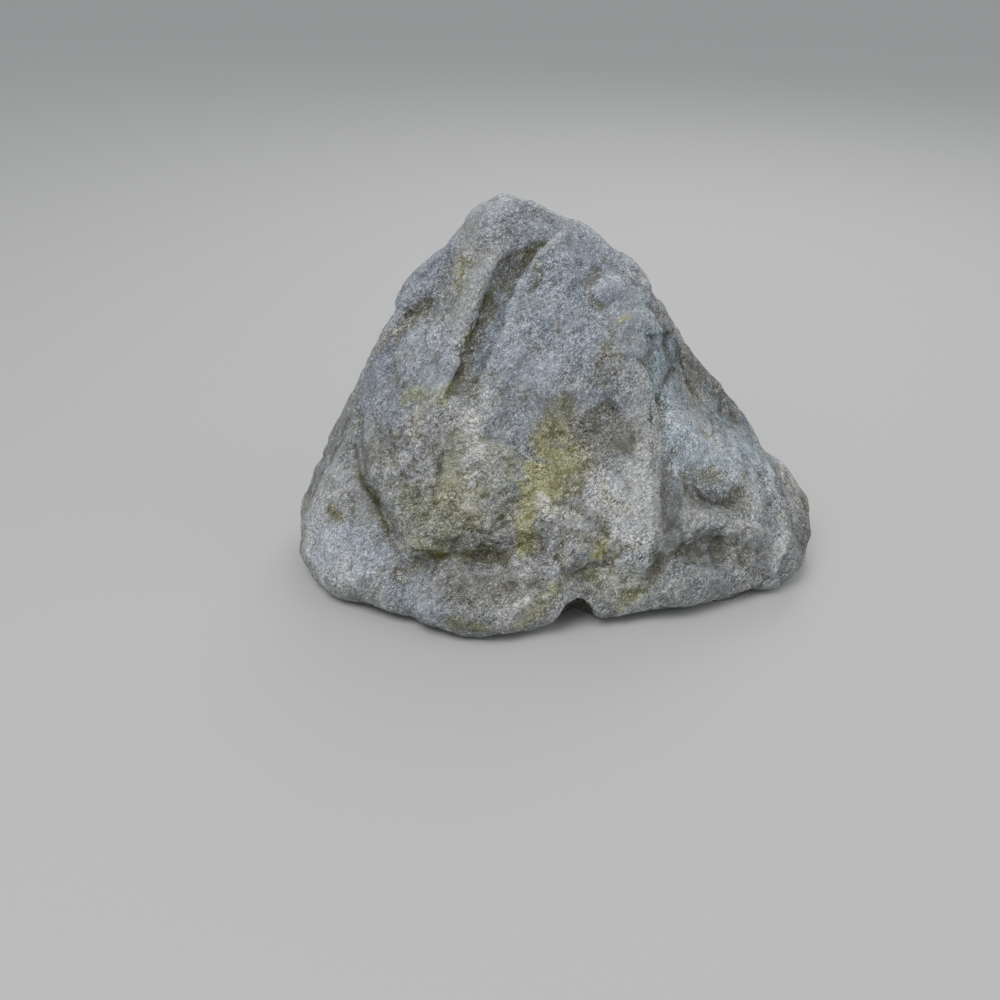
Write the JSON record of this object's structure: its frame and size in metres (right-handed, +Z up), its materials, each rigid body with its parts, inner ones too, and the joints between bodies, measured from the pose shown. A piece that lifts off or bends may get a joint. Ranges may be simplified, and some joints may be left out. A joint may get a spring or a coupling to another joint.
{
  "type": "mossy rock",
  "caption": "Weathered granite boulder, broad at the foot and narrow at the top, with a long groove, ledges and hollows, cut flat underneath to rest on the ground.",
  "frame": {"origin": "middle of the bounding box, on the flat base", "axes": "+Z up, +X along the boulder's length, -Y out of the front, the side with the long groove"},
  "size_m": [1.2576, 0.9082, 0.8812],
  "materials": {
    "granite": "rough"
  },
  "bodies": {
    "root": {"boulder": "granite"}
  },
  "joints": []
}
